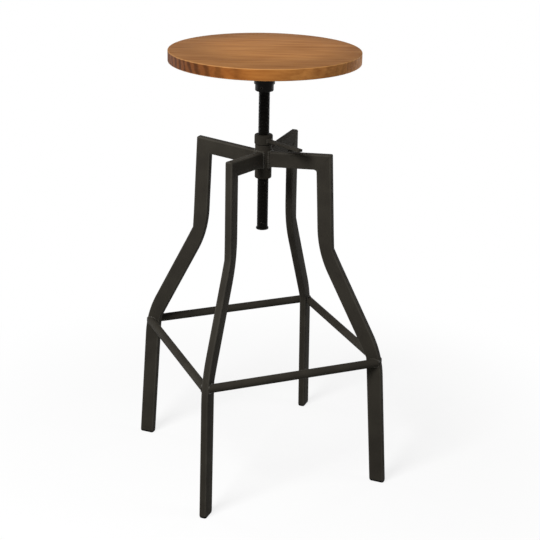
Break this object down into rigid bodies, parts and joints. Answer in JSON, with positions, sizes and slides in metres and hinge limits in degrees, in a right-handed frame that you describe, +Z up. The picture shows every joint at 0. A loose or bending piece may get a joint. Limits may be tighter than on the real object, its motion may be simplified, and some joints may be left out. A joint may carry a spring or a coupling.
{
  "type": "swivel bar stool",
  "caption": "Bar stool with a round wooden seat on a threaded spindle that turns to set its height, in a bent-tube steel frame with footrest rods and a locking lever.",
  "frame": {"origin": "on the floor, under the spindle axis, midway between the four feet", "axes": "+Z up along the spindle; X and Y along the footrest rods; -Y is the front"},
  "size_m": [0.3618, 0.3618, 0.775],
  "materials": {
    "seat_wood": "oak-stained pine under satin lacquer",
    "frame_coat": "dark bronze powder coat, satin",
    "spindle_steel": "blackened steel",
    "screw_steel": "black oxide",
    "foot_plastic": "moulded, black"
  },
  "bodies": {
    "frame": {"hub_sleeve": "frame_coat", "arm_front_right": "frame_coat", "arm_back_right": "frame_coat", "arm_back_left": "frame_coat", "arm_front_left": "frame_coat", "leg_front_right": "frame_coat", "leg_back_right": "frame_coat", "leg_back_left": "frame_coat", "leg_front_left": "frame_coat", "foot_plug_front_right": "foot_plastic", "foot_plug_back_right": "foot_plastic", "foot_plug_back_left": "foot_plastic", "foot_plug_front_left": "foot_plastic", "footrest_front": "frame_coat", "footrest_right": "frame_coat", "footrest_back": "frame_coat", "footrest_left": "frame_coat"},
    "lock": {"lock_nut": "frame_coat", "lock_lever": "frame_coat"},
    "lift": {"spindle_stop_ring": "spindle_steel"},
    "seat": {"spindle": "spindle_steel", "seat_collar": "spindle_steel", "grub_screw": "screw_steel", "seat_plate": "spindle_steel", "seat_screws": "screw_steel", "seat_stave_1": "seat_wood", "seat_stave_2": "seat_wood", "seat_stave_3": "seat_wood", "seat_stave_4": "seat_wood", "seat_stave_5": "seat_wood"}
  },
  "joints": [
    {"name": "spindle_lift", "type": "slide", "parent": "frame", "child": "lift", "axis": [0, 0, 1], "range_m": [-0.0751, 0.0901]},
    {"name": "seat_turn", "type": "hinge", "parent": "lift", "child": "seat", "pos_m": [0, 0, 0.6], "axis": [0, 0, 1], "range_deg": [-10800, 12960]},
    {"name": "lock_turn", "type": "hinge", "parent": "frame", "child": "lock", "pos_m": [0, 0, 0.6197], "axis": [0, 0, 1], "range_deg": [0, 90]}
  ],
  "couplings": [
    {"joint": "spindle_lift", "follows": "seat_turn", "m_per_rad": 0.00039789}
  ]
}
